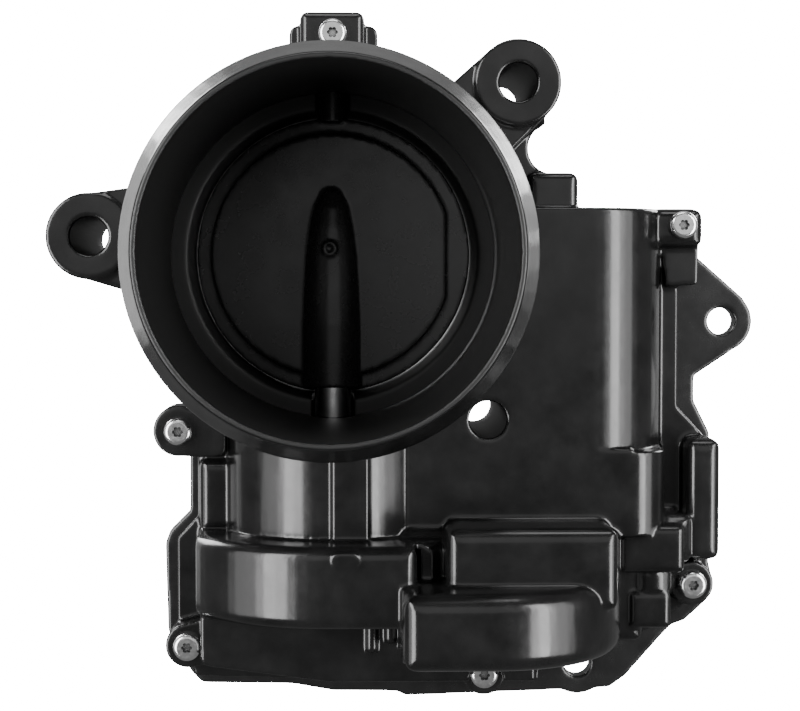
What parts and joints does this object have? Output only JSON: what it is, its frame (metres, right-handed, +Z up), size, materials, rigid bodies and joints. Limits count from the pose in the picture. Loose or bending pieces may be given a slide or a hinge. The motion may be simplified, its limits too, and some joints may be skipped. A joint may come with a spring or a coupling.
{
  "type": "electronic throttle body",
  "caption": "Drive-by-wire throttle body with a butterfly plate, motor, spur reduction and position sensor in a moulded shell.",
  "frame": {"origin": "bore axis in the plane of the manifold face", "axes": "+Z up along the throttle shaft, +Y along the bore towards the manifold, +X towards the motor; the inlet opens towards -Y"},
  "size_m": [0.1527, 0.108, 0.1495],
  "materials": {
    "housing": "gloss",
    "rear_shell": "gloss",
    "plate_plastic": "satin",
    "seal_rubber": "matte",
    "screw_steel": "bright",
    "bearing_steel": "polished",
    "bronze": "satin",
    "shaft_steel": "polished",
    "gear_plastic": "satin",
    "magnet": "matte",
    "spring_steel": "satin",
    "can_steel": "zinc plated",
    "winding": "lacquered copper and laminations",
    "copper": "bright",
    "carbon": "matte",
    "board": "satin",
    "black_plastic": "satin",
    "contact": "tinned"
  },
  "bodies": {
    "root": {"front_housing": "housing", "rear_housing": "rear_shell", "housing_seal": "seal_rubber", "manifold_seal": "seal_rubber", "upper_bearing": "bronze", "lower_bearing": "bearing_steel", "shaft_seal": "seal_rubber", "housing_screws": "screw_steel", "return_spring": "spring_steel", "gear_pin": "shaft_steel", "motor_can": "can_steel", "motor_end_cap": "black_plastic", "motor_plate": "can_steel", "motor_bush": "bronze", "motor_magnets": "magnet", "motor_brushes": "carbon", "motor_screws": "screw_steel", "motor_spring": "spring_steel", "motor_terminals": "copper", "sensor_board": "board", "sensor_chip": "black_plastic", "connector_terminals": "contact"},
    "throttle": {"throttle_plate": "plate_plastic", "throttle_shaft": "shaft_steel", "sector_gear": "gear_plastic", "sensor_magnet": "magnet", "spring_guide": "gear_plastic"},
    "intermediate": {"intermediate_gear": "gear_plastic"},
    "rotor": {"armature": "winding", "commutator": "copper", "motor_shaft": "shaft_steel", "pinion": "bronze"}
  },
  "joints": [
    {"name": "throttle_spin", "type": "hinge", "parent": "root", "child": "throttle", "pos_m": [0, -0.03, 0], "axis": [0, 0, -1], "range_deg": [-6, 84], "stiffness_Nm_per_rad": 0.03},
    {"name": "intermediate_spin", "type": "hinge", "parent": "root", "child": "intermediate", "pos_m": [0.03708, -0.04864, 0], "axis": [0, 0, -1], "range_deg": [-220, 16.5]},
    {"name": "motor_spin", "type": "hinge", "parent": "root", "child": "rotor", "pos_m": [0.055, -0.0315, 0], "axis": [0, 0, -1], "range_deg": [-74, 1018]}
  ],
  "couplings": [
    {"joint": "intermediate_spin", "follows": "throttle_spin", "ratio": -2.6087},
    {"joint": "motor_spin", "follows": "throttle_spin", "ratio": 12.095}
  ]
}
